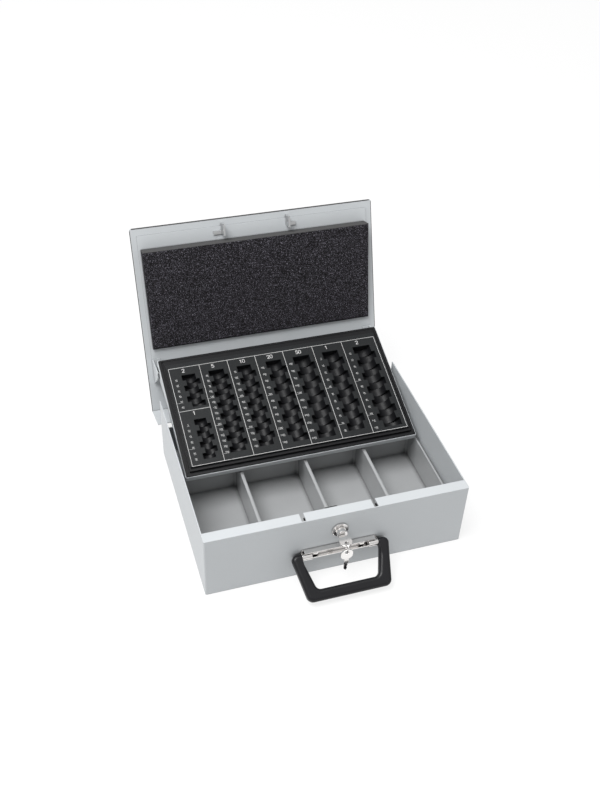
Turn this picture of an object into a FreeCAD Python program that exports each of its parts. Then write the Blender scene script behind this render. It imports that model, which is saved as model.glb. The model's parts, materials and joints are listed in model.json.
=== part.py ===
import FreeCAD, Part
import math
import os
import Sketcher

# Cash box with a hinged lid, a coin tray that swings out with the lid, a note insert, a key lock and a handle.
# Millimetres, +Z up, -Y is the front. The origin is the middle of the base's underside.
# The model stands as photographed: lid open, tray tilted, key in the lock, handle swung out.

SIZES = {
    # folded steel base
    "base_width": 349.0,
    "base_depth": 271.0,
    "base_height": 98.0,
    "sheet": 1.2,
    "rear_wall_height": 46.0,
    "front_flange": 15.0,
    "wall_bend_radius": 2.0,
    # lid
    "side_overhang": 3.0,
    "front_overhang": 1.5,
    "rear_flange_gap": 0.8,
    "lid_seat_gap": 1.3,
    "liner_thick": 1.0,
    "liner_half_width": 168.5,
    "liner_front_margin": 11.0,
    "liner_length": 222.0,
    "lid_corner_radius": 3.0,
    "open_angle": 108.3,
    # piano hinge
    "hinge_height": 43.0,
    "knuckle_radius": 4.5,
    "hinge_pin_radius": 2.2,
    "hinge_length": 300.0,
    "knuckle_count": 9,
    "knuckle_gap": 0.5,
    "leaf_thick": 1.2,
    "leaf_height": 20.0,
    "hinge_running_fit": 0.06,
    # foam wedge under the lid
    "foam_half_width": 165.5,
    "foam_front_margin": 30.0,
    "foam_length": 147.0,
    "foam_front_thick": 20.0,
    "foam_rear_thick": 4.5,
    # lid brackets and tray pivot
    "pivot_from_rear": 71.0,
    "pivot_drop": 31.0,
    "bracket_thick": 1.5,
    "bracket_half_width": 168.5,
    "bracket_foot": 37.0,
    "bracket_foot_width": 12.0,
    "bracket_foot_lead": 11.0,
    "bracket_eye_radius": 6.5,
    "tray_pin_radius": 2.5,
    "tray_pin_fit": 0.05,
    # coin tray and its carrier
    "tray_open_tilt": 18.2,
    "tray_half_width": 164.0,
    "tray_depth": 189.0,
    "tray_under": 7.6,
    "tray_lip_width": 3.4,
    "tray_lip_height": 1.6,
    "tray_step_inset": 5.5,
    "tray_step_height": 4.0,
    "plateau_inset": 7.5,
    "plateau_rear_margin": 14.0,
    "plateau_front_margin": 6.5,
    "plateau_height": 7.5,
    "pivot_ahead_of_rear": 10.0,
    "pivot_below_rim": 14.6,
    "carrier_sheet": 1.0,
    "carrier_clearance": 0.3,
    "carrier_ear_length": 62.0,
    "carrier_ear_radius": 7.0,
    "coin_side_play": 0.8,
    "coin_stack_play": 0.6,
    "coin_stagger": 2.4,
    "stack_coins": 5,
    "column_start": 34.0,
    "cent_gap": 20.3,
    # note insert
    "insert_half_width": 169.5,
    "insert_front_gap": 3.0,
    "insert_depth": 172.0,
    "insert_height": 50.0,
    "insert_wall": 2.6,
    "divider_thick": 4.4,
    "insert_floor": 2.0,
    "note_step": 5.0,
    "note_bay_narrow": 76.4,
    "insert_corner_radius": 4.0,
    # lock
    "lock_height": 72.0,
    "lock_flange_radius": 10.6,
    "lock_flange_thick": 2.5,
    "lock_barrel_radius": 6.6,
    "lock_barrel_length": 8.0,
    "lock_body_radius": 8.9,
    "lock_body_length": 18.0,
    "lock_hole_play": 0.15,
    "plug_radius": 5.0,
    "plug_fit": 0.05,
    "plug_tail_radius": 3.4,
    "lock_nut_width": 22.0,
    "lock_nut_thick": 4.0,
    "cam_thick": 2.0,
    "cam_gap": 0.3,
    "cam_throw": 8.0,
    "cam_half_turn": 45.0,
    "drive_pin_radius": 1.5,
    "drive_pin_length": 3.2,
    # latch bar under the front flange
    "bar_top_below_flange": 7.0,
    "bar_thick": 2.0,
    "bar_half_length": 72.0,
    "bar_width": 11.0,
    "bar_wall_gap": 0.8,
    "drive_lug_half_width": 8.0,
    "drive_lug_drop": 15.0,
    "drive_slot_play": 0.8,
    "stud_spacing": 26.0,
    "stud_radius": 2.0,
    "stud_head_radius": 3.6,
    "stud_head_thick": 1.4,
    # hooks on the lid
    "hook_spacing": 47.5,
    "hook_thick": 2.2,
    "hook_reach": 16.0,
    "hook_front_setback": 5.5,
    "hook_length": 15.5,
    "hook_leg": 2.4,
    "hook_foot_length": 12.0,
    "hook_foot_thick": 1.6,
    "eye_play": 1.0,
    "notch_width": 5.5,
    # keys
    "key_thick": 2.0,
    "key_blade_width": 6.0,
    "key_blade_length": 18.0,
    "key_neck": 2.5,
    "key_bow_radius": 8.5,
    "key_hole_radius": 2.8,
    "key_hole_offset": 4.5,
    "key_play": 0.25,
    "ring_radius": 5.5,
    "ring_wire_radius": 0.7,
    "ring_drop": 3.6,
    # handle
    "handle_height": 40.0,
    "handle_axis_out": 7.0,
    "bracket_plate_half": 51.0,
    "bracket_plate_height": 14.0,
    "bracket_plate_thick": 1.6,
    "bracket_barrel_radius": 4.4,
    "bracket_barrel_length": 13.0,
    "bracket_rib": 1.4,
    "bracket_top_depth": 6.0,
    "bracket_low_depth": 4.0,
    "handle_pin_radius": 2.0,
    "handle_pin_fit": 0.06,
    "handle_pin_depth": 9.0,
    "handle_top_half": 66.0,
    "handle_grip_half": 55.0,
    "handle_arm": 14.0,
    "handle_reach": 57.0,
    "handle_bar": 14.5,
    "handle_thick": 13.0,
    "handle_corner": 9.0,
    "handle_shoulder_rise": 4.5,
    "handle_edge": 4.5,
    "handle_side_gap": 0.5,
    "handle_swing": 55.0,
    "rivet_spacing": 31.0,
    "rivet_radius": 2.4,
    "rivet_head_radius": 3.8,
    "rivet_head_height": 1.6,
}

# Coin columns from left to right: coin diameter, coin thickness, stacks of five, left edge, width and the
# channel's place in that width.
COLUMNS = [
    (18.75, 1.67, 6, -154.0, 44.0, 0.64),
    (21.25, 1.67, 15, -110.0, 40.8, 0.59),
    (19.75, 1.93, 13, -69.2, 40.8, 0.58),
    (22.25, 2.14, 12, -28.4, 41.7, 0.64),
    (24.25, 2.38, 11, 13.3, 44.6, 0.60),
    (23.25, 2.33, 11, 57.9, 45.3, 0.58),
    (25.75, 2.20, 12, 103.2, 50.8, 0.58),
]
SMALLEST_COIN = (16.25, 1.67, 7)

doc = FreeCAD.newDocument("cash_box")
sheet = doc.addObject("Spreadsheet::Sheet", "Sizes")
for row, (alias, value) in enumerate(SIZES.items(), start=1):
    sheet.set("A%d" % row, alias)
    sheet.set("B%d" % row, str(value))
    sheet.setAlias("B%d" % row, alias)
derived = doc.addObject("Spreadsheet::Sheet", "Derived")
doc.recompute()

PARTS = []
X_AXIS = FreeCAD.Vector(1, 0, 0)
Y_AXIS = FreeCAD.Vector(0, 1, 0)
Z_AXIS = FreeCAD.Vector(0, 0, 1)


def size(alias):
    """Value of one driving dimension."""
    return float(sheet.get(alias))


def vec(x, y, z):
    return FreeCAD.Vector(x, y, z)


def turn(axis, degrees, centre):
    """Placement that turns about a line through a point."""
    return FreeCAD.Placement(vec(0, 0, 0), FreeCAD.Rotation(axis, degrees), centre)


def expand(expression):
    """Write the sheet's name in front of every alias of an expression."""
    words = []
    word = ""
    for letter in expression + " ":
        if letter.isalnum() or letter == "_":
            word += letter
        else:
            words.append("Sizes." + word if word in SIZES else word)
            words.append(letter)
            word = ""
    return "".join(words).strip()


def block(name, x0, x1, y0, y1, z0, z1):
    """Box between two corners, each coordinate an expression in the driving dimensions."""
    box = doc.addObject("Part::Box", name)
    for prop, low, high in (("Length", x0, x1), ("Width", y0, y1), ("Height", z0, z1)):
        box.setExpression(prop, expand("(%s) - (%s)" % (high, low)))
    for axis, low in (("x", x0), ("y", y0), ("z", z0)):
        box.setExpression("Placement.Base." + axis, expand("(%s) * 1mm" % low))
    return box


def rod(name, radius, length, x, y, z, axis):
    """Cylinder of a radius and length, from a point along an axis."""
    cylinder = doc.addObject("Part::Cylinder", name)
    cylinder.setExpression("Radius", expand(radius))
    cylinder.setExpression("Height", expand(length))
    cylinder.Placement = FreeCAD.Placement(vec(0, 0, 0), FreeCAD.Rotation(Z_AXIS, axis))
    for coordinate, expression in (("x", x), ("y", y), ("z", z)):
        cylinder.setExpression("Placement.Base." + coordinate, expand("(%s) * 1mm" % expression))
    return cylinder


def joined(name, pieces):
    fuse = doc.addObject("Part::MultiFuse", name)
    fuse.Shapes = pieces
    fuse.Refine = True
    return fuse


def cut(name, base, tools):
    """Base with one or several tools taken away."""
    tool = tools[0] if len(tools) == 1 else joined(name + "_tools", tools)
    result = doc.addObject("Part::Cut", name)
    result.Base = base
    result.Tool = tool
    result.Refine = True
    return result


def rounded(name, base, radius, chosen):
    """Fillet of the edges of a solid that a test picks."""
    doc.recompute()
    edges = [i for i, edge in enumerate(base.Shape.Edges, start=1) if chosen(edge)]
    fillet = doc.addObject("Part::Fillet", name)
    fillet.Base = base
    fillet.Edges = [(i, radius, radius) for i in edges]
    return fillet


def gathered(name, pieces):
    group = doc.addObject("Part::Compound", name)
    group.Links = pieces
    return group


def sub_part(label, obj, placement=None):
    """Name a finished piece, put it in its place and list it for export."""
    if placement is not None:
        if obj.TypeId in ("Part::Box", "Part::Cylinder"):
            obj = gathered(label + "_placed", [obj])
        obj.Placement = placement.multiply(obj.Placement)
    obj.Label = label
    PARTS.append(obj)
    return obj


def body_plane(body, role):
    return [f for f in body.Origin.OriginFeatures if f.Role == role][0]


def new_body(name):
    return doc.addObject("PartDesign::Body", name)


def corner_points(points, radii):
    """Tangent points and centres of the arcs that round a closed outline's corners."""
    rounded_corners = []
    count = len(points)
    for i, radius in enumerate(radii):
        here, before, after = vec(*points[i], 0), vec(*points[i - 1], 0), vec(*points[(i + 1) % count], 0)
        if radius <= 0:
            rounded_corners.append((here, None, here))
            continue
        to_before = (before - here).normalize()
        to_after = (after - here).normalize()
        half = to_before.getAngle(to_after) / 2
        reach = radius / math.tan(half)
        centre = here + (to_before + to_after).normalize() * (radius / math.sin(half))
        middle = centre + (here - centre).normalize() * radius
        rounded_corners.append((here + to_before * reach, middle, here + to_after * reach))
    return rounded_corners


def sketch_on(body, name, role, loops):
    """Sketch on one of the body's origin planes: closed outlines with rounded corners, and circles."""
    sketch = body.newObject("Sketcher::SketchObject", name)
    sketch.AttachmentSupport = [(body_plane(body, role), "")]
    sketch.MapMode = "FlatFace"
    for loop in loops:
        if loop[0] == "circle":
            sketch.addGeometry(Part.Circle(vec(loop[1], loop[2], 0), Z_AXIS, loop[3]), False)
            continue
        corners = corner_points(loop[0], loop[1])
        for i, (_, _, leave) in enumerate(corners):
            enter = corners[(i + 1) % len(corners)][0]
            sketch.addGeometry(Part.LineSegment(leave, enter), False)
        for enter, middle, leave in corners:
            if middle is not None:
                sketch.addGeometry(Part.Arc(enter, middle, leave), False)
    return sketch


def padded(body, name, sketch, length, midplane=False):
    pad = body.newObject("PartDesign::Pad", name)
    pad.Profile = sketch
    pad.setExpression("Length", expand(length))
    pad.Midplane = midplane
    return pad


def base_shell():
    """Folded steel tray: full side walls, a low rear wall, a front wall with an inward flange and two notches."""
    outer = block("base_block", "-base_width / 2", "base_width / 2", "-base_depth / 2", "base_depth / 2",
                  "0", "base_height")
    bend = size("wall_bend_radius")
    outer = rounded("base_bends", outer, bend,
                    lambda e: abs(e.Vertexes[0].X - e.Vertexes[1].X) < 1e-6
                    and abs(e.Vertexes[0].Y - e.Vertexes[1].Y) < 1e-6)
    hollow = block("base_hollow", "-base_width / 2 + sheet", "base_width / 2 - sheet", "-base_depth / 2 + sheet",
                   "base_depth / 2 - sheet", "sheet", "base_height - sheet")
    mouth = block("base_mouth", "-base_width / 2 + sheet", "base_width / 2 - sheet",
                  "-base_depth / 2 + front_flange", "base_depth / 2 - sheet", "base_height / 2", "base_height * 2")
    rear_gap = block("rear_gap", "-base_width / 2 + sheet", "base_width / 2 - sheet", "base_depth / 4", "base_depth",
                     "rear_wall_height", "base_height * 2")
    tools = [hollow, mouth, rear_gap]
    for side in ("-", ""):
        tools.append(block("notch", side + "hook_spacing - notch_width / 2", side + "hook_spacing + notch_width / 2",
                           "-base_depth / 2 + sheet", "-base_depth / 2 + front_flange * 2",
                           "base_height - sheet * 2", "base_height * 2"))
        tools.append(rod("rivet_hole", "rivet_radius", "sheet * 4", side + "rivet_spacing",
                         "-base_depth / 2 - sheet", "handle_height", Y_AXIS))
    tools.append(rod("lock_hole", "lock_body_radius + lock_hole_play", "sheet * 4", "0",
                     "-base_depth / 2 - sheet", "lock_height", Y_AXIS))
    sub_part("base_shell", cut("base_shell", outer, tools))


BAR_FRONT = "-base_depth / 2 + sheet + bar_wall_gap"
BAR_MIDDLE = "-base_depth / 2 + sheet + bar_wall_gap + bar_width / 2"
LINER_UNDER = "base_height + lid_seat_gap - liner_thick"
LID_UNDER = "base_height + lid_seat_gap"
LID_FRONT = "-base_depth / 2 - front_overhang"
LID_REAR = "base_depth / 2 + rear_flange_gap + sheet"
LID_HALF = "base_width / 2 + side_overhang"
HINGE_Y = "base_depth / 2 + knuckle_radius + knuckle_gap"


def number(expression):
    """Value of an expression in the driving dimensions."""
    derived.set("A1", "=" + expand(expression))
    derived.recompute()
    return float(derived.get("A1"))


def hinge_axis():
    return vec(0, number(HINGE_Y), size("hinge_height"))


def lid_opened():
    """The lid's pieces are drawn closed and swung open about the hinge pin."""
    return turn(X_AXIS, -size("open_angle"), hinge_axis())


def lid_shell():
    """Flat lid panel folded down into a rear flange that closes the back above the hinge."""
    panel = block("lid_panel", "-(%s)" % LID_HALF, LID_HALF, LID_FRONT, LID_REAR, LID_UNDER, LID_UNDER + " + sheet")
    panel = rounded("lid_corners", panel, size("lid_corner_radius"),
                    lambda e: abs(e.Vertexes[0].Z - e.Vertexes[1].Z) > size("sheet") / 2
                    and e.Vertexes[0].Y < 0)
    flange = block("lid_rear_flange", "-(%s)" % LID_HALF, LID_HALF, LID_REAR + " - sheet", LID_REAR,
                   "hinge_height + knuckle_radius + knuckle_gap", LID_UNDER + " + sheet")
    sub_part("lid_shell", joined("lid_shell", [panel, flange]), lid_opened())


def lid_liner():
    """Inner plate that stiffens the lid and carries the hooks, the foam and the tray brackets."""
    liner = block("liner_plate", "-liner_half_width", "liner_half_width", LID_FRONT + " + liner_front_margin",
                  LID_FRONT + " + liner_front_margin + liner_length", LINER_UNDER, LID_UNDER)
    sub_part("lid_liner", liner, lid_opened())


def lid_hooks():
    """Two steel lugs with an eye, which drop through the base's notches and are caught by the latch bar."""
    front = "-base_depth / 2 + hook_front_setback"
    rear = front + " + hook_length"
    foot_front = "-base_depth / 2 + front_flange + eye_play"
    tongue_front = BAR_FRONT + " + bar_width / 2"
    tongue_rear = BAR_FRONT + " + bar_width"
    bar_top = "base_height - bar_top_below_flange"
    for name, sign in (("lid_hook_left", "-"), ("lid_hook_right", "")):
        middle = sign + "hook_spacing"
        plate = block(name + "_plate", middle + " - hook_thick / 2", middle + " + hook_thick / 2", front, rear,
                      LINER_UNDER + " - hook_reach", LINER_UNDER)
        outward = (middle + " - hook_thick / 2 - hook_foot_length", middle + " + hook_thick / 2")
        if sign == "":
            outward = (middle + " - hook_thick / 2", middle + " + hook_thick / 2 + hook_foot_length")
        foot = block(name + "_foot", outward[0], outward[1], foot_front, rear,
                     LINER_UNDER + " - hook_foot_thick", LINER_UNDER)
        eye = block(name + "_eye", middle + " - hook_thick", middle + " + hook_thick",
                    tongue_front + " - eye_play", tongue_rear + " + eye_play",
                    bar_top + " - bar_thick - eye_play", bar_top + " + eye_play")
        hook = cut(name, joined(name + "_blank", [plate, foot]), [eye])
        sub_part(name, hook, lid_opened())


def foam_pad():
    """Foam wedge that holds the coins down: thick at the front of the lid, thin at its rear."""
    front = number(LID_FRONT + " + foam_front_margin")
    rear = front + size("foam_length")
    top = number(LINER_UNDER)
    body = new_body("foam_pad")
    outline = [(front, top), (front, top - size("foam_front_thick")), (rear, top - size("foam_rear_thick")), (rear, top)]
    sketch = sketch_on(body, "foam_section", "YZ_Plane", [(outline, [0, 2.0, 1.0, 0])])
    padded(body, "foam_block", sketch, "foam_half_width * 2", midplane=True)
    sub_part("foam_pad", body, lid_opened())


def tray_pivot():
    """Tray pivot in the closed lid's frame."""
    return vec(0, number(LID_REAR + " - pivot_from_rear"), number(LINER_UNDER + " - pivot_drop"))


def tray_brackets():
    """Two sheet brackets fixed to the lid, which carry the tray's pivot pins."""
    pivot = tray_pivot()
    top = number(LINER_UNDER)
    front = pivot.y - size("bracket_foot_lead")
    rear = front + size("bracket_foot")
    eye = size("bracket_eye_radius")
    for name, side in (("tray_bracket_left", -1), ("tray_bracket_right", 1)):
        body = new_body(name + "_blank")
        outline = [(front, top), (pivot.y - eye, pivot.z - eye), (pivot.y + eye, pivot.z - eye), (rear, top)]
        hole = ("circle", pivot.y, pivot.z, size("tray_pin_radius"))
        sketch = sketch_on(body, name + "_outline", "YZ_Plane", [(outline, [0, eye * 0.9, eye * 0.9, 0]), hole])
        padded(body, name + "_plate", sketch, "bracket_thick")
        inner = -size("bracket_half_width") if side < 0 else size("bracket_half_width") - size("bracket_thick")
        body.Placement = FreeCAD.Placement(vec(inner, 0, 0), FreeCAD.Rotation())
        low = "-bracket_half_width" if side < 0 else "bracket_half_width - bracket_foot_width"
        foot_front = LID_REAR + " - pivot_from_rear - bracket_foot_lead"
        foot = block(name + "_foot", low, low + " + bracket_foot_width", foot_front, foot_front + " + bracket_foot",
                     LINER_UNDER + " - bracket_thick", LINER_UNDER)
        sub_part(name, joined(name + "_folded", [body, foot]), lid_opened())


def tray_opened():
    """The tray is drawn level, from its rear edge, and hung on the lid's pivot at its tilt."""
    pivot = lid_opened().multVec(tray_pivot())
    own = vec(0, -size("pivot_ahead_of_rear"), -size("pivot_below_rim"))
    tilt = FreeCAD.Rotation(X_AXIS, size("tray_open_tilt"))
    return FreeCAD.Placement(pivot - tilt.multVec(own), tilt)


def tray_pins():
    """Shouldered pins that join the carrier's ears to the lid's brackets."""
    for name, sign in (("tray_pin_left", "-"), ("tray_pin_right", "")):
        inner = "tray_half_width - bracket_thick"
        length = "bracket_half_width - tray_half_width + bracket_thick"
        start = inner if sign == "" else "-(%s)" % inner
        axis = X_AXIS if sign == "" else X_AXIS * -1
        shank = rod(name + "_shank", "tray_pin_radius", length, start, "-pivot_ahead_of_rear", "-pivot_below_rim", axis)
        sub_part(name, shank, tray_opened())


def tray_carrier():
    """Sheet-metal pan under the coin tray, with ears at its rear for the pivots."""
    half = "tray_half_width + carrier_clearance + carrier_sheet"
    pan = block("carrier_pan", "-(%s)" % half, half, "-tray_depth - carrier_clearance - carrier_sheet",
                "carrier_clearance + carrier_sheet", "-tray_under - carrier_clearance - carrier_sheet", "0")
    pan = rounded("carrier_corners", pan, size("wall_bend_radius"),
                  lambda e: abs(e.Vertexes[0].Z - e.Vertexes[1].Z) > size("tray_under") / 2)
    inside = block("carrier_inside", "-tray_half_width - carrier_clearance", "tray_half_width + carrier_clearance",
                   "-tray_depth - carrier_clearance", "carrier_clearance", "-tray_under - carrier_clearance",
                   "plateau_height")
    shell = cut("carrier_shell", pan, [inside])
    rear = size("carrier_clearance") + size("carrier_sheet")
    low = -size("pivot_below_rim") - size("carrier_ear_radius")
    pieces = [shell]
    for name, side in (("ear_left", -1), ("ear_right", 1)):
        body = new_body(name)
        outline = [(rear, 0), (rear, low), (-size("pivot_ahead_of_rear") - size("carrier_ear_radius"), low),
                   (-size("carrier_ear_length"), -size("tray_under")), (-size("carrier_ear_length"), 0)]
        hole = ("circle", -size("pivot_ahead_of_rear"), -size("pivot_below_rim"),
                size("tray_pin_radius") + size("tray_pin_fit"))
        radius = size("carrier_ear_radius") * 0.8
        sketch = sketch_on(body, name + "_outline", "YZ_Plane", [(outline, [0, radius, radius, 2.0, 0]), hole])
        padded(body, name + "_plate", sketch, "carrier_sheet")
        edge = number(half)
        inner = -edge if side < 0 else edge - size("carrier_sheet")
        body.Placement = FreeCAD.Placement(vec(inner, 0, 0), FreeCAD.Rotation())
        pieces.append(body)
    sub_part("tray_carrier", joined("tray_carrier", pieces), tray_opened())


def coin_channel(name, coin, stacks, centre, start):
    """Zigzag of half-round pockets, one for each stack of five coins, open at the tray's top."""
    radius = (coin[0] + size("coin_side_play")) / 2
    pitch = coin[1] * size("stack_coins") + size("coin_stack_play")
    top = size("plateau_height")
    pockets = []
    for i in range(stacks):
        stagger = size("coin_stagger") * (1 if i % 2 else -1)
        origin = vec(centre + stagger, -start - pitch * (i + 1), top)
        pockets.append(Part.makeCylinder(radius, pitch, origin, Y_AXIS))
    channel = doc.addObject("Part::Feature", name)
    channel.Shape = pockets[0].multiFuse(pockets[1:]) if len(pockets) > 1 else pockets[0]
    return channel, start + pitch * stacks


def coin_tray():
    """Moulded counting tray: stepped rim, raised plateau and the coin channels sunk in it."""
    rim = block("tray_rim", "-tray_half_width", "tray_half_width", "-tray_depth", "0", "-tray_under", "tray_lip_height")
    rim = rounded("tray_rim_corners", rim, size("wall_bend_radius"),
                  lambda e: abs(e.Vertexes[0].Z - e.Vertexes[1].Z) > size("tray_under") / 2)
    groove = block("tray_groove", "-tray_half_width + tray_lip_width", "tray_half_width - tray_lip_width",
                   "-tray_depth + tray_lip_width", "-tray_lip_width", "0", "plateau_height * 2")
    step = block("tray_step", "-tray_half_width + tray_step_inset", "tray_half_width - tray_step_inset",
                 "-tray_depth + tray_step_inset", "-tray_step_inset", "-tray_under / 2", "tray_step_height")
    plateau = block("tray_plateau", "-tray_half_width + plateau_inset", "tray_half_width - plateau_inset",
                    "-tray_depth + plateau_front_margin + tray_lip_width", "-plateau_rear_margin",
                    "-tray_under / 2", "plateau_height")
    blank = joined("tray_blank", [cut("tray_rim_cut", rim, [groove]), step, plateau])
    channels = []
    for i, (diameter, thick, stacks, left, width, share) in enumerate(COLUMNS):
        centre = left + width * share
        channel, end = coin_channel("channel_%d" % i, (diameter, thick), stacks, centre, size("column_start"))
        channels.append(channel)
        if i == 0:
            channel, _ = coin_channel("channel_small", SMALLEST_COIN, SMALLEST_COIN[2], centre,
                                      end + size("cent_gap"))
            channels.append(channel)
    sub_part("coin_tray", cut("coin_tray", blank, channels), tray_opened())


def note_insert():
    """Moulded insert with four open note bays, each narrower than the one to its left."""
    front = "-base_depth / 2 + sheet + insert_front_gap"
    rear = front + " + insert_depth"
    outer = block("insert_block", "-insert_half_width", "insert_half_width", front, rear, "sheet", "sheet + insert_height")
    outer = rounded("insert_corners", outer, size("insert_corner_radius"),
                    lambda e: abs(e.Vertexes[0].Z - e.Vertexes[1].Z) > size("insert_height") / 2)
    bays = []
    right = "insert_half_width - insert_wall"
    for i in range(4):
        width = "(note_bay_narrow + note_step * %d)" % i
        left = right + " - " + width if i < 3 else "-insert_half_width + insert_wall"
        bay = block("note_bay_%d" % i, left, right, front + " + insert_wall", rear + " - insert_wall",
                    "sheet + insert_floor", "sheet + insert_height * 2")
        bays.append(rounded("note_bay_round_%d" % i, bay, size("insert_corner_radius") - size("insert_wall") / 2,
                            lambda e: abs(e.Vertexes[0].Z - e.Vertexes[1].Z) > size("insert_height") / 2))
        right = left + " - divider_thick"
    sub_part("note_insert", cut("note_insert", outer, bays))


def hinge_leaf(name, first, plate, placement=None):
    """Leaf of the piano hinge: a strip with every other knuckle, bored for the pin."""
    pitch = "(hinge_length / knuckle_count)"
    pieces = [plate]
    for i in range(first, int(size("knuckle_count")), 2):
        start = "-hinge_length / 2 + %s * %d + knuckle_gap / 2" % (pitch, i)
        pieces.append(rod(name + "_knuckle", "knuckle_radius", pitch + " - knuckle_gap", start, HINGE_Y,
                          "hinge_height", X_AXIS))
    clear = []
    for i in range(1 - first, int(size("knuckle_count")), 2):
        start = "-hinge_length / 2 + %s * %d - knuckle_gap / 2" % (pitch, i)
        clear.append(rod(name + "_clear", "knuckle_radius + knuckle_gap", pitch + " + knuckle_gap", start, HINGE_Y,
                         "hinge_height", X_AXIS))
    bore = rod(name + "_bore", "hinge_pin_radius + hinge_running_fit", "hinge_length * 2", "-hinge_length",
               HINGE_Y, "hinge_height", X_AXIS)
    strip = cut(name + "_strip", plate, clear)
    pieces[0] = strip
    sub_part(name, cut(name, joined(name + "_blank", pieces), [bore]), placement)


def hinge():
    """Piano hinge along the rear: base leaf, lid leaf and pin."""
    base_plate = block("hinge_base_plate", "-hinge_length / 2", "hinge_length / 2", "base_depth / 2",
                       "base_depth / 2 + leaf_thick", "hinge_height - leaf_height", "hinge_height")
    hinge_leaf("hinge_leaf_base", 0, base_plate)
    lid_plate = block("hinge_lid_plate", "-hinge_length / 2", "hinge_length / 2", LID_REAR, LID_REAR + " + leaf_thick",
                      "hinge_height", "hinge_height + leaf_height")
    hinge_leaf("hinge_leaf_lid", 1, lid_plate, lid_opened())
    pin = rod("hinge_pin", "hinge_pin_radius", "hinge_length", "-hinge_length / 2", HINGE_Y, "hinge_height", X_AXIS)
    sub_part("hinge_pin", pin)


FRONT = "-base_depth / 2"
LOCK_FACE = "-base_depth / 2 - lock_flange_thick - lock_barrel_length"
LOCK_END = "-base_depth / 2 + lock_body_length"


def lock():
    """Cylinder lock: housing through the front wall, nut behind it, turning plug and cam with a drive pin."""
    flange = rod("lock_flange", "lock_flange_radius", "lock_flange_thick", "0", FRONT + " - lock_flange_thick",
                 "lock_height", Y_AXIS)
    barrel = rod("lock_barrel", "lock_barrel_radius", "lock_barrel_length + lock_flange_thick", "0", LOCK_FACE,
                 "lock_height", Y_AXIS)
    inner = rod("lock_body", "lock_body_radius", "lock_body_length", "0", FRONT, "lock_height", Y_AXIS)
    bore = rod("lock_bore", "plug_radius + plug_fit", "lock_body_length * 4", "0", LOCK_FACE + " - lock_body_length",
               "lock_height", Y_AXIS)
    sub_part("lock_housing", cut("lock_housing", joined("lock_blank", [flange, barrel, inner]), [bore]))
    body = new_body("lock_nut")
    across = size("lock_nut_width") / math.sqrt(3)
    hexagon = [(across * math.cos(math.radians(60 * i)), across * math.sin(math.radians(60 * i))) for i in range(6)]
    hole = ("circle", 0, 0, size("lock_body_radius") + size("lock_hole_play"))
    padded(body, "lock_nut_pad", sketch_on(body, "lock_nut_outline", "XZ_Plane", [(hexagon, [1.0] * 6), hole]),
           "lock_nut_thick")
    rear = number(FRONT + " + sheet + lock_nut_thick")
    sub_part("lock_nut", body, FreeCAD.Placement(vec(0, rear, size("lock_height")), FreeCAD.Rotation()))
    plug = rod("plug_core", "plug_radius", LOCK_END + " - (%s)" % LOCK_FACE, "0", LOCK_FACE, "lock_height", Y_AXIS)
    tail = rod("plug_tail", "plug_tail_radius", "cam_thick + cam_gap", "0", LOCK_END, "lock_height", Y_AXIS)
    keyway = block("keyway", "-key_blade_width / 2 - key_play", "key_blade_width / 2 + key_play",
                   LOCK_FACE + " - key_neck", LOCK_FACE + " + key_blade_length + key_neck",
                   "lock_height - key_thick / 2 - key_play", "lock_height + key_thick / 2 + key_play")
    sub_part("lock_plug", cut("lock_plug", joined("plug_blank", [plug, tail]), [keyway]))
    start = LOCK_END + " + cam_gap"
    hub = rod("cam_hub", "plug_tail_radius + cam_thick", "cam_thick", "0", start, "lock_height", Y_AXIS)
    arm = block("cam_arm", "-drive_pin_radius - cam_thick / 2", "drive_pin_radius + cam_thick / 2", start,
                start + " + cam_thick", "lock_height", "lock_height + cam_throw + drive_pin_radius * 2")
    pin = rod("cam_pin", "drive_pin_radius", "cam_thick + drive_pin_length", "0", start,
              "lock_height + cam_throw", Y_AXIS)
    hole = rod("cam_hole", "plug_tail_radius", "cam_thick * 4", "0", LOCK_END + " - cam_thick", "lock_height", Y_AXIS)
    cam = cut("lock_cam", joined("cam_blank", [hub, arm, pin]), [hole])
    centre = vec(0, 0, size("lock_height"))
    sub_part("lock_cam", cam, turn(Y_AXIS, -size("cam_half_turn"), centre))


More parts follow.
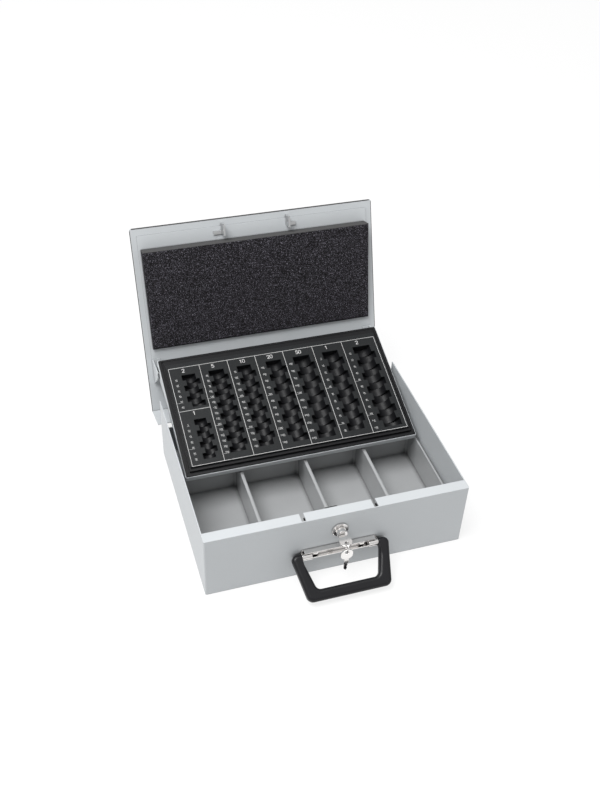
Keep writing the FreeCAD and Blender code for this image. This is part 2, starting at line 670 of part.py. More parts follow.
def latch_bar():
    """Sliding bar under the front flange, with two tongues for the lid's hooks and a slotted lug for the cam."""
    travel_half = size("cam_throw") * math.sin(math.radians(size("cam_half_turn")))
    top = "base_height - bar_top_below_flange"
    rear = BAR_FRONT + " + bar_width"
    lug_front = LOCK_END + " + cam_gap * 2 + cam_thick"
    lug_rear = lug_front + " + bar_thick"
    strip = block("bar_strip", "-bar_half_length", "bar_half_length", BAR_FRONT, rear, top + " - bar_thick", top)
    web = block("bar_web", "-drive_lug_half_width", "drive_lug_half_width", BAR_MIDDLE, lug_rear,
                top + " - bar_thick", top)
    lug = block("bar_lug", "-drive_lug_half_width", "drive_lug_half_width", lug_front, lug_rear,
                top + " - drive_lug_drop", top)
    half_slot = "drive_pin_radius + drive_slot_play"
    slot = block("bar_slot", "-(%s)" % half_slot, half_slot, lug_front + " - bar_thick", lug_rear + " + bar_thick",
                 top + " - drive_lug_drop - bar_thick", "lock_height + cam_throw + drive_pin_radius + drive_slot_play")
    tools = [slot]
    throw = "cam_throw * 2"
    middle = BAR_FRONT + " + bar_width / 2"
    for side in ("-", ""):
        place = side + "hook_spacing + %.6f" % travel_half
        tools.append(block("hook_gate", place + " - notch_width / 2", place + " + notch_width / 2",
                           BAR_FRONT + " + hook_leg", rear + " + bar_width", top + " - bar_width", top + " + bar_width"))
        tools.append(block("hook_run", place + " - notch_width / 2 - " + throw, place + " + notch_width / 2",
                           BAR_FRONT + " + hook_leg", middle, top + " - bar_width", top + " + bar_width"))
        tools.append(block("stud_run", side + "stud_spacing - stud_radius * 1.2 - " + throw,
                           side + "stud_spacing + stud_radius * 1.2 + " + throw,
                           BAR_MIDDLE + " - stud_radius * 1.2", BAR_MIDDLE + " + stud_radius * 1.2",
                           top + " - bar_width", top + " + bar_width"))
    bar = cut("latch_bar", joined("bar_blank", [strip, web, lug]), tools)
    sub_part("latch_bar", bar, FreeCAD.Placement(vec(-travel_half, 0, 0), FreeCAD.Rotation()))


def latch_studs():
    """Two headed studs that hang the latch bar from the front flange."""
    top = "base_height - bar_top_below_flange"
    studs = []
    for side in ("-", ""):
        shank = rod("stud_shank", "stud_radius", "bar_top_below_flange - sheet + bar_thick + stud_radius / 4",
                    side + "stud_spacing", BAR_MIDDLE, top + " - bar_thick - stud_radius / 4", Z_AXIS)
        head = rod("stud_head", "stud_head_radius", "stud_head_thick", side + "stud_spacing", BAR_MIDDLE,
                   top + " - bar_thick - stud_radius / 4 - stud_head_thick", Z_AXIS)
        studs.append(joined("stud", [shank, head]))
    sub_part("latch_studs", gathered("latch_studs", studs))


def key_body(name):
    """Flat key drawn along -Y from the lock's face: notched blade inwards, round bow with a hole outwards."""
    half = size("key_blade_width") / 2
    tip = size("key_blade_length")
    neck = size("key_neck")
    bow = size("key_bow_radius")
    centre = -neck - bow
    body = new_body(name)
    blade = [(-half, centre), (-half, tip - half), (0, tip), (half * 0.5, tip - half), (half * 0.5, tip * 0.72),
             (half * 0.25, tip * 0.62), (half * 0.7, tip * 0.5), (half * 0.35, tip * 0.4), (half, tip * 0.2),
             (half, centre)]
    padded(body, name + "_blade", sketch_on(body, name + "_blade_outline", "XY_Plane", [(blade, [0] * len(blade))]),
           "key_thick", midplane=True)
    side = bow * 0.94
    disc = [(-side, centre - bow), (side, centre - bow), (side, centre + bow), (-side, centre + bow)]
    hole = ("circle", 0, centre - size("key_hole_offset"), size("key_hole_radius"))
    padded(body, name + "_bow", sketch_on(body, name + "_bow_outline", "XY_Plane", [(disc, [bow * 0.85] * 4), hole]),
           "key_thick", midplane=True)
    cutter = sketch_on(body, name + "_hole_outline", "XY_Plane", [hole])
    pocket = body.newObject("PartDesign::Pocket", name + "_hole")
    pocket.Profile = cutter
    pocket.setExpression("Length", expand("key_thick * 2"))
    pocket.Midplane = True
    return body


def key_hole_reach():
    """Distance of the bow's hole from the lock's face."""
    return size("key_neck") + size("key_bow_radius") + size("key_hole_offset")


def ring_centre():
    """The ring runs down through the bow's hole and round the bow's end."""
    rise = size("ring_radius") ** 2 - size("ring_drop") ** 2
    inset = (size("key_hole_radius") - size("ring_wire_radius")) / 3
    return vec(0, number(LOCK_FACE) - key_hole_reach() + inset - math.sqrt(rise), size("lock_height") - size("ring_drop"))


def keys():
    """Key in the lock, ring through its bow, and a second key hanging from the ring."""
    face = vec(0, number(LOCK_FACE), size("lock_height"))
    sub_part("key", key_body("key"), FreeCAD.Placement(face, FreeCAD.Rotation()))
    centre = ring_centre()
    torus = doc.addObject("Part::Torus", "key_ring")
    torus.setExpression("Radius1", expand("ring_radius"))
    torus.setExpression("Radius2", expand("ring_wire_radius"))
    sub_part("key_ring", torus, FreeCAD.Placement(centre, FreeCAD.Rotation(Y_AXIS, 90)))
    hang = size("ring_radius") + size("key_hole_radius") - size("ring_wire_radius") * 1.6
    hole = vec(0, -key_hole_reach(), 0)
    down = FreeCAD.Rotation(X_AXIS, -90)
    place = FreeCAD.Placement(centre - vec(0, 0, hang) - down.multVec(hole), down)
    sub_part("spare_key", key_body("spare_key"), place)


HANDLE_Y = "-base_depth / 2 - handle_axis_out"


def handle_bracket():
    """Plated channel on the front wall: a flange along both edges and a barrel for the pivot at each end."""
    half = size("bracket_plate_half")
    tall = size("bracket_plate_height") / 2
    body = new_body("bracket_plate")
    outline = [(-half, -tall), (half, -tall), (half, tall), (-half, tall)]
    holes = [("circle", side * size("rivet_spacing"), 0, size("rivet_radius")) for side in (-1, 1)]
    padded(body, "bracket_pad", sketch_on(body, "bracket_outline", "XZ_Plane", [(outline, [tall * 0.5] * 4)] + holes),
           "bracket_plate_thick")
    body.Placement = FreeCAD.Placement(vec(0, number(FRONT), size("handle_height")), FreeCAD.Rotation())
    pieces = [body]
    plate_front = FRONT + " - bracket_plate_thick"
    top = "handle_height + bracket_plate_height / 2"
    low = "handle_height - bracket_plate_height / 2"
    edges = (("bracket_top", top + " - bracket_rib", top, "bracket_top_depth"),
             ("bracket_low", low, low + " + bracket_rib", "bracket_low_depth"))
    for name, under, over, depth in edges:
        pieces.append(block(name, "-bracket_plate_half + bracket_plate_height / 4",
                            "bracket_plate_half - bracket_plate_height / 4", plate_front + " - " + depth,
                            FRONT + " - bracket_plate_thick / 2", under, over))
    bores = []
    for side in (-1, 1):
        start = "-bracket_plate_half" if side < 0 else "bracket_plate_half - bracket_barrel_length"
        pieces.append(rod("bracket_barrel", "bracket_barrel_radius", "bracket_barrel_length", start, HANDLE_Y,
                          "handle_height", X_AXIS))
        pieces.append(block("bracket_cheek", start, start + " + bracket_barrel_length", HANDLE_Y,
                            FRONT + " - bracket_plate_thick / 2", "handle_height - bracket_barrel_radius * 0.7",
                            "handle_height + bracket_barrel_radius * 0.7"))
    bores.append(rod("bracket_bore", "handle_pin_radius", "bracket_plate_half * 4", "-bracket_plate_half * 2",
                     HANDLE_Y, "handle_height", X_AXIS))
    sub_part("handle_bracket", cut("handle_bracket", joined("bracket_blank", pieces), bores))


def handle_pins():
    """Pivot pins from the bracket's barrels into the handle's shoulders."""
    for name, side in (("handle_pin_left", -1), ("handle_pin_right", 1)):
        inner = "bracket_plate_half - bracket_barrel_length"
        length = "bracket_barrel_length + handle_side_gap + handle_pin_depth"
        start = inner if side > 0 else "-(%s)" % inner
        pin = rod(name, "handle_pin_radius", length, start, HANDLE_Y, "handle_height", X_AXIS * side)
        sub_part(name, pin)


def handle_rivets():
    """Two domed rivets through the bracket and the front wall."""
    rivets = []
    for side in ("-", ""):
        shank = rod("rivet_shank", "rivet_radius", "bracket_plate_thick + sheet", side + "rivet_spacing",
                    FRONT + " - bracket_plate_thick", "handle_height", Y_AXIS)
        head = rod("rivet_head", "rivet_head_radius", "rivet_head_height", side + "rivet_spacing",
                   FRONT + " - bracket_plate_thick - rivet_head_height", "handle_height", Y_AXIS)
        tail = rod("rivet_tail", "rivet_head_radius", "rivet_head_height", side + "rivet_spacing",
                   FRONT + " + sheet", "handle_height", Y_AXIS)
        rivets.append(joined("rivet", [shank, head, tail]))
    sub_part("handle_rivets", gathered("handle_rivets", rivets))


def handle_grip():
    """Moulded carrying handle: two tapering arms and a grip bar round a trapezoid finger opening."""
    top = size("handle_top_half")
    low = size("handle_grip_half")
    arm = size("handle_arm")
    reach = size("handle_reach")
    bar = size("handle_bar")
    shoulder = size("handle_shoulder_rise")
    corner = size("handle_corner")
    inner_top = size("bracket_plate_half") + size("handle_side_gap")
    inner_low = low - arm
    outline = [(inner_top, shoulder), (top, shoulder), (low, -reach), (-low, -reach), (-top, shoulder),
               (-inner_top, shoulder), (-inner_top, -shoulder), (-inner_low, bar - reach), (inner_low, bar - reach),
               (inner_top, -shoulder)]
    radii = [0, corner * 0.8, corner, corner, corner * 0.8, 0, 0, corner * 0.8, corner * 0.8, 0]
    body = new_body("handle_blank")
    sketch = sketch_on(body, "handle_outline", "XZ_Plane", [(outline, radii)])
    pad = padded(body, "handle_block", sketch, "handle_thick", midplane=True)
    doc.recompute()
    edges = ["Edge%d" % i for i, e in enumerate(pad.Shape.Edges, start=1)
             if abs(e.Vertexes[0].Y - e.Vertexes[-1].Y) < 1e-6
             and abs(abs(e.CenterOfMass.x) - inner_top) > 1e-3]
    soft = body.newObject("PartDesign::Fillet", "handle_edges")
    soft.Base = (pad, edges)
    soft.setExpression("Radius", expand("handle_edge"))
    centre = vec(0, number(HANDLE_Y), size("handle_height"))
    body.Placement = FreeCAD.Placement(centre, FreeCAD.Rotation(X_AXIS, -size("handle_swing")))
    bore = rod("handle_bore", "handle_pin_radius + handle_pin_fit", "handle_top_half * 2",
               "-handle_top_half", HANDLE_Y, "handle_height", X_AXIS)
    stop = "bracket_plate_half + handle_side_gap + handle_pin_depth + handle_pin_fit"
    core = block("handle_bore_stop", "-(%s)" % stop, stop, HANDLE_Y + " - handle_thick", HANDLE_Y + " + handle_thick",
                 "handle_height - handle_thick", "handle_height + handle_thick")
    short_bore = doc.addObject("Part::Common", "handle_short_bore")
    short_bore.Base = bore
    short_bore.Tool = core
    sub_part("handle_grip", cut("handle_grip_bored", body, [short_bore]))


base_shell()
lid_shell()
lid_liner()
lid_hooks()
foam_pad()
tray_brackets()
tray_carrier()
coin_tray()
tray_pins()
note_insert()
hinge()
lock()
latch_bar()
latch_studs()
keys()
handle_bracket()
handle_pins()
handle_rivets()
handle_grip()
doc.recompute()

for obj in doc.Objects:
    if "Invalid" in obj.State or "Error" in obj.State:
        raise RuntimeError("%s failed to build: %s" % (obj.Name, obj.State))
os.makedirs("parts", exist_ok=True)
for obj in PARTS:
    if obj.Shape.isNull() or not obj.Shape.isValid() or obj.Shape.Volume <= 0:
        raise RuntimeError("%s has no valid solid" % obj.Label)
for obj in PARTS:
    obj.Shape.exportStep("parts/%s.step" % obj.Label)
    print("%-20s solids %d  volume %.1f" % (obj.Label, len(obj.Shape.Solids), obj.Shape.Volume))
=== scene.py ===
import json
import math

import bpy
import numpy as np
from mathutils import Matrix, Vector


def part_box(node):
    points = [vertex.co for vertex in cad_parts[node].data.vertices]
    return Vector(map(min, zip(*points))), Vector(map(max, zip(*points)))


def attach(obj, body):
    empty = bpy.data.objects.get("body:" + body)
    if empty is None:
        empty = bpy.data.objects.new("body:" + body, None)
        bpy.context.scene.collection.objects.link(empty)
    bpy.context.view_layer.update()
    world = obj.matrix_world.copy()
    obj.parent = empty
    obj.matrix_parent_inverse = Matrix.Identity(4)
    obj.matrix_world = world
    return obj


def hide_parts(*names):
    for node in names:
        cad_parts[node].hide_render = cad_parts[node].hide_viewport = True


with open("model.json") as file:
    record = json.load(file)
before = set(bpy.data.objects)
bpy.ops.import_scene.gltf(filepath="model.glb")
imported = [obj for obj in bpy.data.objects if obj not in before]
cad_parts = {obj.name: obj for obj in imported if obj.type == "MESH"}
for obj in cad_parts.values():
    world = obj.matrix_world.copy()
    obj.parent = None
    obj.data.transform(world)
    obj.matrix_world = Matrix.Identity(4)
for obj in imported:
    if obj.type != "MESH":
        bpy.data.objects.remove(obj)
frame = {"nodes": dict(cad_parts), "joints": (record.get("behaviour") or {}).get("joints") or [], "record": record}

bl_info = {
    "name": "Cash Box Looks",
    "version": (1, 0, 0),
    "blender": (4, 5, 0),
    "location": "View3D > Sidebar > Cash Box",
    "description": "Builds the looks of a steel cash box round its construction model",
    "category": "Object",
}

# Sizes are in millimetres and angles in degrees, unless a line says otherwise.
MM = 0.001

# Places in the Y-Z plane about which the lid and the tray turn, and the tray's slope.
JOINTS = {joint["name"]: joint for joint in frame["joints"]}
HINGE = tuple(value / MM for value in JOINTS["lid_hinge"]["pos_m"][1:])
OPEN_ANGLE = JOINTS["lid_hinge"]["range_deg"][1]
TRAY_PIVOT = tuple(value / MM for value in JOINTS["tray_tilt"]["pos_m"][1:])
TRAY_PIVOT_FROM_EDGE = (-10.0, -14.6)
TRAY_TILT = 18.2

# The lid panel's cut edges, which carry strips of painted shade.
SHEET = 1.2
LID_CORNER = 3.0
EDGE_OFF_SHEET = 0.02
FRONT_EDGE_TURNED_IN = 1.6
SIDE_EDGE_TURNED_IN = 0.9

# The foam wedge's section, the unevenness of its skin, its steps, and the painted highlight on its front end.
FOAM_THICK_FRONT = 20.0
FOAM_THICK_REAR = 4.5
FOAM_MIDDLE_DEPTH = 6.0
FOAM_INSET = 0.3
FOAM_LEAST_DIP = 0.15
FOAM_MOST_DIP = 1.2
FOAM_FLAT_BACK = 1.0
FOAM_WAVE_LENGTH = 34.0
FOAM_WAVES = 14
FOAM_WAVE_RATES = (0.6, 1.6)
FOAM_WAVE_PHASES = 6.28
FOAM_WAVE_SUM = 6.0
FOAM_SEED = 4
FOAM_STEP = 2.4
FOAM_FEWEST_STEPS = 4
FOAM_ROWS = 140
FOAM_END_ROWS = 7
FOAM_END_SHARE = 0.985
FOAM_HIGHLIGHT_FULL_DEPTH = 0.6
FOAM_HIGHLIGHT_END_DEPTH = 1.6

# The insert's dividers, whose bays widen from the right to the left.
INSERT_WALL = 2.6
DIVIDERS = 3
DIVIDER_THICK = 4.4
DIVIDER_SUNK = 0.2
DIVIDER_RISE = 1.0
FIRST_BAY = 76.4
BAY_GROWTH = 5.0
DIVIDER_ROWS = 40
DIVIDER_POINTS = 13

# The domes on the rivets' heads.
RIVET_SUNK = 0.05
RIVET_POLE = 0.001
RIVET_DOME = 1.1
RIVET_RINGS = 8
RIVET_SIDES = 32

# The tray's plateau above its edge, and the depths between which painted shade darkens its pockets.
PLATEAU = 7.5
POCKET_SHADE_START_DEPTH = 0.4
POCKET_SHADE_FULL_DEPTH = 3.5

# The tray's print, measured from the tray's rear edge.
PRINT_LIFT = 0.06
FRAME_REAR = 21.0
FRAME_FRONT = 178.5
CHANNEL_START = 34.0
SHORT_CHANNEL_GAP = 20.3
SHORT_CHANNEL_LINE = 0.24
HEADING_PLACE = 0.42
HEADING_TALL = 5.4
HEADING_STROKE = 0.9
HEADING_GAP = 3.0
SHORT_HEADING_GAP = 2.6
SCALE_WIDTH = 8.6
TOTAL_TALL = 2.1
TOTAL_STROKE = 0.34
TOTAL_LIFT = 0.9
TICK_STROKE = 0.3
TICK_LENGTH = 2.4
TICK_OVERHANG = 0.4
LONG_TICK_EVERY = 5
LONG_TICK_MARGIN = 0.6

# The tray's columns from the left: width, pocket pitch, pockets, heading, worth of one pocket.
COLUMNS = [
    (44.0, 8.95, 6, "2", 10),
    (40.8, 8.95, 15, "5", 25),
    (40.8, 10.25, 13, "10", 50),
    (41.7, 11.3, 12, "20", 100),
    (44.6, 12.5, 11, "50", 250),
    (45.3, 12.25, 11, "1", 5),
    (50.8, 11.6, 12, "2", 10),
]
# The short channel in the first column: pocket pitch, pockets, heading, worth of one pocket.
SHORT_CHANNEL = (8.95, 7, "1", 5)

# Strokes of the digits on a grid 0.6 wide and 1 tall.
DIGIT_WIDTH = 0.6
DIGIT_ADVANCE = 0.78
DIGITS = {
    "0": [(0, .2), (.12, .03), (.3, 0), (.48, .03), (.6, .2), (.6, .8), (.48, .97), (.3, 1), (.12, .97),
          (0, .8), (0, .2)],
    "1": [(.12, .8), (.34, 1), (.34, 0)],
    "2": [(0, .78), (.1, .95), (.3, 1), (.5, .95), (.6, .76), (.54, .56), (0, 0), (.6, 0)],
    "3": [(0, .9), (.3, 1), (.56, .86), (.54, .62), (.26, .52), (.56, .42), (.6, .18), (.3, 0), (0, .1)],
    "4": [(.45, 0), (.45, 1), (0, .3), (.6, .3)],
    "5": [(.56, 1), (.08, 1), (.04, .55), (.3, .62), (.54, .5), (.6, .28), (.48, .06), (.26, 0), (0, .08)],
    "6": [(.52, .96), (.2, .8), (.02, .4), (.08, .1), (.3, 0), (.54, .1), (.6, .32), (.46, .54), (.2, .54),
          (.02, .36)],
    "7": [(0, 1), (.6, 1), (.2, 0)],
    "8": [(.3, .53), (.06, .68), (.06, .88), (.3, 1), (.54, .88), (.54, .68), (.3, .53), (.02, .32),
          (.04, .1), (.3, 0), (.56, .1), (.58, .32), (.3, .53)],
    "9": [(.08, .04), (.4, .2), (.58, .6), (.52, .9), (.3, 1), (.06, .9), (0, .68), (.14, .46), (.4, .46),
          (.58, .64)],
}

# The finishes: half the drift of the roughness, the bump's depth in metres, the clouds and specks, the
# openness between which painted shade darkens corners and slots, and the near blacks of painted shade.
ROUGHNESS_DRIFT = 0.06
BUMP_DEPTH = 0.0004
CLOUD_SCALE = 14.0
SPECK_FULL = 0.78
RECESS_SHUT = 0.15
RECESS_OPEN = 0.75
RECESS_SHADE_BLACK = (0.012, 0.012, 0.013)
POCKET_SHADE_BLACK = (0.004, 0.004, 0.005)

# The stage, in metres and watts.
FLOOR_HALF = 6.0
FLOOR_DROP = 0.0005
FLOOR_GLOW = 0.80
SKY_HORIZON = 0.50
SKY_ZENITH = 0.80
LAMP_PLACE = (-1.05, -0.3, 2.8)
LAMP_AIM = (0.0, 0.0, 0.1)
LAMP_SIZE = 1.7
LAMP_POWER = 105.0

# The camera: its place in metres, its angles and its focal length.
CAMERA_PLACE = (-0.32415, -0.90729, 0.99103)
CAMERA_AZIMUTH = -18.87
CAMERA_ELEVATION = 40.37
CAMERA_ROLL = 2.53
CAMERA_LENS = 44.13


class CashBoxSettings(bpy.types.PropertyGroup):
    """Choices for the looks."""
    paint_tone: bpy.props.FloatProperty(
        name="Paint tone", description="Brightness of the grey powder coat",
        default=0.475, min=0.1, max=0.9)
    foam_waviness: bpy.props.FloatProperty(
        name="Foam waviness", description="Depth of the foam's soft unevenness",
        default=0.0005, min=0.0, max=0.002, unit="LENGTH")
    line_width: bpy.props.FloatProperty(
        name="Line width", description="Width of the tray's printed lines",
        default=0.0006, min=0.0002, max=0.003, unit="LENGTH")


def turned(y, z, centre, degrees):
    """Points of the Y-Z plane turned about a centre."""
    angle = math.radians(degrees)
    dy, dz = y - centre[0], z - centre[1]
    return (centre[0] + dy * math.cos(angle) - dz * math.sin(angle),
            centre[1] + dy * math.sin(angle) + dz * math.cos(angle))


def on_lid(points):
    """Points of the shut lid, swung open, in metres."""
    x, y, z = np.asarray(points, float).T
    return np.stack([x, *turned(y, z, HINGE, -OPEN_ANGLE)], 1) * MM


def on_tray(points):
    """Points of the level tray, measured from its rear edge, hung at its slope, in metres."""
    x, y, z = np.asarray(points, float).T
    level_y = y - TRAY_PIVOT_FROM_EDGE[0] + TRAY_PIVOT[0]
    level_z = z - TRAY_PIVOT_FROM_EDGE[1] + TRAY_PIVOT[1]
    return np.stack([x, *turned(level_y, level_z, TRAY_PIVOT, TRAY_TILT)], 1) * MM


def along(placed):
    """Unit direction from one placed point to a second, and the first one's place along it."""
    direction = placed[1] - placed[0]
    direction /= np.linalg.norm(direction)
    return tuple(direction), float(direction @ placed[0])


def node_box(node):
    """Lowest and highest corner of a construction node at rest."""
    return [np.array(corner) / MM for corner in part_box(node)]


def shut_box(node):
    """Lowest and highest corner of one of the lid's nodes with the lid shut."""
    vertices = frame["nodes"][node].data.vertices
    points = np.empty(len(vertices) * 3)
    vertices.foreach_get("co", points)
    x, y, z = points.reshape(-1, 3).T / MM
    shut = np.stack([x, *turned(y, z, HINGE, OPEN_ANGLE)])
    return shut.min(1), shut.max(1)


def grid(x, y, z):
    """Grid of points from three arrays that are spread over its rows and columns."""
    return np.stack(np.broadcast_arrays(x, y, z), -1)


def joined(grids, closed=False):
    """Points and quads of several grids; closed joins each one's last column to its first."""
    points, quads, start = [], [], 0
    for rows in grids:
        index = start + np.arange(rows.shape[0] * rows.shape[1]).reshape(rows.shape[:2])
        start += index.size
        if closed:
            index = np.concatenate([index, index[:, :1]], 1)
        corners = [index[:-1, :-1], index[:-1, 1:], index[1:, 1:], index[1:, :-1]]
        points.append(rows.reshape(-1, 3))
        quads.append(np.stack(corners, -1).reshape(-1, 4))
    return np.concatenate(points), np.concatenate(quads)


def ribbons(segments, height):
    """Flat strips along segments, half a width to either side and a quarter of it past both ends."""
    x0, y0, x1, y1, width = np.array(segments).T
    length = np.hypot(x1 - x0, y1 - y0)
    step_x, step_y = (x1 - x0) / length * width, (y1 - y0) / length * width
    end_x, end_y = step_x / 4, step_y / 4
    side_x, side_y = -step_y / 2, step_x / 2
    x = [x0 - end_x - side_x, x1 + end_x - side_x, x1 + end_x + side_x, x0 - end_x + side_x]
    y = [y0 - end_y - side_y, y1 + end_y - side_y, y1 + end_y + side_y, y0 - end_y + side_y]
    points = grid(np.stack(x, 1), np.stack(y, 1), height).reshape(-1, 3)
    return points, np.arange(len(points)).reshape(-1, 4)


def new_piece(name, points, quads, material, body, smooth=False):
    """Mesh piece at the origin, with points in metres, that moves with a body."""
    mesh = bpy.data.meshes.new(name)
    mesh.from_pydata(points.tolist(), [], quads.tolist())
    mesh.update()
    if smooth:
        mesh.polygons.foreach_set("use_smooth", [True] * len(mesh.polygons))
    obj = bpy.data.objects.new(name, mesh)
    bpy.context.scene.collection.objects.link(obj)
    mesh.materials.append(bpy.data.materials[material])
    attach(obj, body)
    return obj


def number_strokes(text, x, y, tall, width):
    """Segments that write a number with its lower left corner at a point."""
    segments = []
    for i, digit in enumerate(text):
        left = x + i * tall * DIGIT_ADVANCE
        for (ax, ay), (bx, by) in zip(DIGITS[digit], DIGITS[digit][1:]):
            segments.append((left + ax * tall, y + ay * tall, left + bx * tall, y + by * tall, width))
    return segments


def number_width(text, tall):
    """Width that a number takes."""
    return tall * (DIGIT_ADVANCE * (len(text) - 1) + DIGIT_WIDTH)


def soft_noise(x, y):
    """Sum of sines in mixed directions, between about -1 and 1."""
    rng = np.random.default_rng(FOAM_SEED)
    total = np.zeros_like(x)
    for _ in range(FOAM_WAVES):
        angle = rng.uniform(0, math.pi)
        frequency = rng.uniform(*FOAM_WAVE_RATES) * 2 * math.pi / FOAM_WAVE_LENGTH
        phase = rng.uniform(0, FOAM_WAVE_PHASES)
        total += np.sin((x * math.cos(angle) + y * math.sin(angle)) * frequency + phase)
    return total / FOAM_WAVE_SUM


def new_group(name, inputs, outputs):
    """Shader node group with named sockets: its nodes, its links and its two end nodes."""
    group = bpy.data.node_groups.new(name, "ShaderNodeTree")
    for way, sockets in (("INPUT", inputs), ("OUTPUT", outputs)):
        for label, kind in sockets.items():
            group.interface.new_socket(label, in_out=way, socket_type="NodeSocket" + kind)
    return group.nodes, group.links, group.nodes.new("NodeGroupInput"), group.nodes.new("NodeGroupOutput")


def mixed(nodes, links, factor, first, second):
    """Colour between two, each a colour or a colour output, by a factor output."""
    mix = nodes.new("ShaderNodeMix")
    mix.data_type = "RGBA"
    links.new(factor, mix.inputs["Factor"])
    for label, value in (("A", first), ("B", second)):
        if isinstance(value, tuple):
            mix.inputs[label].default_value = (*value, 1)
        else:
            links.new(value, mix.inputs[label])
    return mix.outputs["Result"]


def grain_group():
    """Fine grain with softened edges as a normal, a cloudy mask, and a mask of small specks."""
    nodes, links, given, result = new_group(
        "Grain",
        {"Scale": "Float", "Depth": "Float", "Edge": "Float", "Speck Scale": "Float",
         "Speck Level": "Float"},
        {"Normal": "Vector", "Cloud": "Float", "Specks": "Float"})
    place = nodes.new("ShaderNodeTexCoord")
    fine = nodes.new("ShaderNodeTexNoise")
    fine.inputs["Detail"].default_value = 3.0
    links.new(place.outputs["Object"], fine.inputs["Vector"])
    links.new(given.outputs["Scale"], fine.inputs["Scale"])
    edge = nodes.new("ShaderNodeBevel")
    edge.samples = 4
    links.new(given.outputs["Edge"], edge.inputs["Radius"])
    bump = nodes.new("ShaderNodeBump")
    bump.inputs["Distance"].default_value = BUMP_DEPTH
    links.new(given.outputs["Depth"], bump.inputs["Strength"])
    links.new(fine.outputs["Fac"], bump.inputs["Height"])
    links.new(edge.outputs["Normal"], bump.inputs["Normal"])
    links.new(bump.outputs["Normal"], result.inputs["Normal"])
    cloud = nodes.new("ShaderNodeTexNoise")
    cloud.inputs["Scale"].default_value = CLOUD_SCALE
    cloud.inputs["Detail"].default_value = 4.0
    links.new(place.outputs["Object"], cloud.inputs["Vector"])
    links.new(cloud.outputs["Fac"], result.inputs["Cloud"])
    specks = nodes.new("ShaderNodeTexNoise")
    specks.inputs["Detail"].default_value = 1.0
    links.new(place.outputs["Object"], specks.inputs["Vector"])
    links.new(given.outputs["Speck Scale"], specks.inputs["Scale"])
    ramp = nodes.new("ShaderNodeMapRange")
    ramp.inputs["From Max"].default_value = SPECK_FULL
    links.new(given.outputs["Speck Level"], ramp.inputs["From Min"])
    links.new(specks.outputs["Fac"], ramp.inputs["Value"])
    links.new(ramp.outputs["Result"], result.inputs["Specks"])


def painted_fade_group():
    """Painted light and shade: colour that changes to a painted tone between two places along a direction, all but
    a share of it.
    """
    nodes, links, given, result = new_group(
        "Fade",
        {"Colour": "Color", "Painted Tone": "Color", "Direction": "Vector", "Clear": "Float", "Fully Painted": "Float",
         "Share": "Float"},
        {"Colour": "Color"})
    place = nodes.new("ShaderNodeTexCoord")
    height = nodes.new("ShaderNodeVectorMath")
    height.operation = "DOT_PRODUCT"
    links.new(place.outputs["Object"], height.inputs[0])
    links.new(given.outputs["Direction"], height.inputs[1])
    painted_fade = nodes.new("ShaderNodeMapRange")
    links.new(height.outputs["Value"], painted_fade.inputs["Value"])
    for label, end in (("Fully Painted", "From Min"), ("Clear", "From Max"), ("Share", "To Min")):
        links.new(given.outputs[label], painted_fade.inputs[end])
    colour = mixed(nodes, links, painted_fade.outputs["Result"], given.outputs["Painted Tone"], given.outputs["Colour"])
    links.new(colour, result.inputs["Colour"])


def recess_shade_group():
    """Painted shade: colour that falls to near black in corners and slots narrower than a reach."""
    nodes, links, given, result = new_group(
        "Recess Shade", {"Colour": "Color", "Reach": "Float"}, {"Colour": "Color"})
    # Ambient occlusion paints shade into the colour where corners and slots close in.
    hollow = nodes.new("ShaderNodeAmbientOcclusion")
    hollow.samples = 8
    links.new(given.outputs["Reach"], hollow.inputs["Distance"])
    openness = nodes.new("ShaderNodeMapRange")
    openness.inputs["From Min"].default_value = RECESS_SHUT
    openness.inputs["From Max"].default_value = RECESS_OPEN
    links.new(hollow.outputs["AO"], openness.inputs["Value"])
    colour = mixed(nodes, links, openness.outputs["Result"], RECESS_SHADE_BLACK, given.outputs["Colour"])
    links.new(colour, result.inputs["Colour"])


def placed_group(nodes, name, values):
    """Node group placed in a material with its own values."""
    group = nodes.new("ShaderNodeGroup")
    group.node_tree = bpy.data.node_groups[name]
    for label, value in values.items():
        group.inputs[label].default_value = value
    return group


def surface(name, low, high, roughness, metallic=0.0, grain=(900.0, 0.1, 0.0005), speck=None,
            speck_size=(1400.0, 0.62), coat=0.0, gloss=0.5, painted_fade=None, recess_shade=None):
    """Principled material whose colour drifts between two tones, with grain, specks, softened edges, and painted
    light and shade.
    """
    plain = bpy.data.materials.get(name)
    if plain is not None:
        plain.name = name + "_plain"
    material = bpy.data.materials.new(name)
    material.use_nodes = True
    nodes, links = material.node_tree.nodes, material.node_tree.links
    labels = ("Scale", "Depth", "Edge", "Speck Scale", "Speck Level")
    group = placed_group(nodes, "Grain", dict(zip(labels, grain + speck_size)))
    colour = mixed(nodes, links, group.outputs["Cloud"], low, high)
    if speck is not None:
        colour = mixed(nodes, links, group.outputs["Specks"], colour, speck)
    for effect, values in (("Fade", painted_fade), ("Recess Shade", recess_shade)):
        if values is not None:
            node = placed_group(nodes, effect, values)
            links.new(colour, node.inputs["Colour"])
            colour = node.outputs["Colour"]
    rough = nodes.new("ShaderNodeMapRange")
    rough.inputs["To Min"].default_value = roughness - ROUGHNESS_DRIFT
    rough.inputs["To Max"].default_value = roughness + ROUGHNESS_DRIFT
    links.new(group.outputs["Cloud"], rough.inputs["Value"])
    shader = nodes["Principled BSDF"]
    links.new(colour, shader.inputs["Base Color"])
    links.new(rough.outputs["Result"], shader.inputs["Roughness"])
    links.new(group.outputs["Normal"], shader.inputs["Normal"])
    shader.inputs["Metallic"].default_value = metallic
    shader.inputs["Coat Weight"].default_value = coat
    shader.inputs["Specular IOR Level"].default_value = gloss


